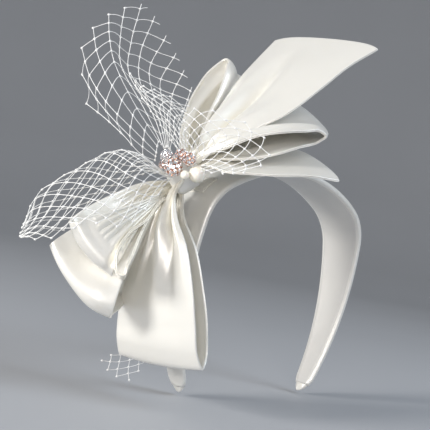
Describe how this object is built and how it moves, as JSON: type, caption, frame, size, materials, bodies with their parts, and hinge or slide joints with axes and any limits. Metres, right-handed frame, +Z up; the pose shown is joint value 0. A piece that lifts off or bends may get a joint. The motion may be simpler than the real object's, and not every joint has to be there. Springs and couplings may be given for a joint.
{
  "type": "knotted bow headband",
  "caption": "Padded satin headband with an off-centre knotted satin bow, stiff net veiling and a small cluster of wired beads.",
  "frame": {"origin": "crown of the lining, at the middle of the band's width, where the band rests on the head", "axes": "+Z up out of the head, the band's arch lies in the XZ plane, the wearer faces -Y, and the bow is on the -X shoulder"},
  "size_m": [0.2384, 0.1283, 0.231],
  "materials": {
    "ivory_satin": "satin",
    "bow_satin": "satin",
    "lining_satin": "satin",
    "band_plastic": "matte",
    "felt": "matte",
    "thread": "matte",
    "veil_net": "matte",
    "gold_wire": "polished",
    "pearl": "gloss",
    "rose_gold": "polished",
    "crystal": "gloss"
  },
  "bodies": {
    "band": {"cover_crown": "ivory_satin", "core_crown": "band_plastic", "lining_crown": "lining_satin", "bow_base": "felt", "tack_stitches": "thread", "bow_gather": "bow_satin", "gather_thread": "thread", "knot_wrap": "bow_satin", "upper_back_loop": "bow_satin", "right_upper_loop": "bow_satin", "left_loop": "bow_satin", "right_lower_tail": "bow_satin", "veil_upper_puff": "veil_net", "veil_left_puff": "veil_net", "veil_right_puff": "veil_net", "veil_strip": "veil_net", "bead_wires": "gold_wire"},
    "left_arm": {"cover_left_arm": "ivory_satin", "core_left_arm": "band_plastic", "lining_left_arm": "lining_satin", "tip_fold_left": "ivory_satin"},
    "right_arm": {"cover_right_arm": "ivory_satin", "core_right_arm": "band_plastic", "lining_right_arm": "lining_satin", "tip_fold_right": "ivory_satin"},
    "front_loop": {"front_loop": "bow_satin"},
    "upper_tail": {"upper_tail": "bow_satin"},
    "crystal_ball": {"crystal_ball": "crystal"},
    "rhinestone_ball_large": {"rhinestone_ball_large": "rose_gold"},
    "rhinestone_bead_small": {"rhinestone_bead_small": "rose_gold"},
    "rhinestone_ball_upper": {"rhinestone_ball_upper": "rose_gold"},
    "rhinestone_ball_side": {"rhinestone_ball_side": "rose_gold"},
    "pearl_small": {"pearl_small": "pearl"},
    "pearl_large": {"pearl_large": "pearl"}
  },
  "joints": [
    {"name": "left_arm_flex", "type": "hinge", "parent": "band", "child": "left_arm", "pos_m": [-0.07288, 0, -0.03651], "axis": [0, 1, 0], "range_deg": [0, 8], "stiffness_Nm_per_rad": 1.8},
    {"name": "right_arm_flex", "type": "hinge", "parent": "band", "child": "right_arm", "pos_m": [0.07288, 0, -0.03651], "axis": [0, -1, 0], "range_deg": [0, 8], "stiffness_Nm_per_rad": 1.8},
    {"name": "front_loop_lift", "type": "hinge", "parent": "band", "child": "front_loop", "pos_m": [-0.08348, -0.00582, -0.02685], "axis": [-0.2411, 0.9642, -0.1105], "range_deg": [0, 8], "stiffness_Nm_per_rad": 0.3},
    {"name": "upper_tail_bend", "type": "hinge", "parent": "band", "child": "upper_tail", "pos_m": [-0.07451, -0.00708, -0.00193], "axis": [0.0101, 0.9652, 0.2614], "range_deg": [-6, 6], "stiffness_Nm_per_rad": 0.3},
    {"name": "crystal_ball_spin", "type": "hinge", "parent": "band", "child": "crystal_ball", "pos_m": [-0.1027, -0.0104, -0.0072], "axis": [-0.9195, -0.2913, 0.264], "continuous": true},
    {"name": "rhinestone_ball_large_spin", "type": "hinge", "parent": "band", "child": "rhinestone_ball_large", "pos_m": [-0.1024, -0.0178, -0.0132], "axis": [-0.8217, -0.5698, -0.0083], "continuous": true},
    {"name": "rhinestone_bead_small_spin", "type": "hinge", "parent": "band", "child": "rhinestone_bead_small", "pos_m": [-0.1009, -0.0058, -0.012], "axis": [-0.9938, -0.0972, 0.054], "continuous": true},
    {"name": "rhinestone_ball_upper_spin", "type": "hinge", "parent": "band", "child": "rhinestone_ball_upper", "pos_m": [-0.0975, -0.0165, -0.0054], "axis": [-0.7159, -0.5966, 0.3627], "continuous": true},
    {"name": "rhinestone_ball_side_spin", "type": "hinge", "parent": "band", "child": "rhinestone_ball_side", "pos_m": [-0.0973, -0.0241, -0.0072], "axis": [-0.5775, -0.7844, 0.2263], "continuous": true},
    {"name": "pearl_small_spin", "type": "hinge", "parent": "band", "child": "pearl_small", "pos_m": [-0.099, -0.0246, -0.0162], "axis": [-0.6206, -0.7748, -0.1204], "continuous": true},
    {"name": "pearl_large_spin", "type": "hinge", "parent": "band", "child": "pearl_large", "pos_m": [-0.0918, -0.0259, -0.0144], "axis": [-0.3902, -0.9189, -0.0587], "continuous": true}
  ],
  "couplings": [
    {"joint": "right_arm_flex", "follows": "left_arm_flex", "ratio": 1}
  ]
}
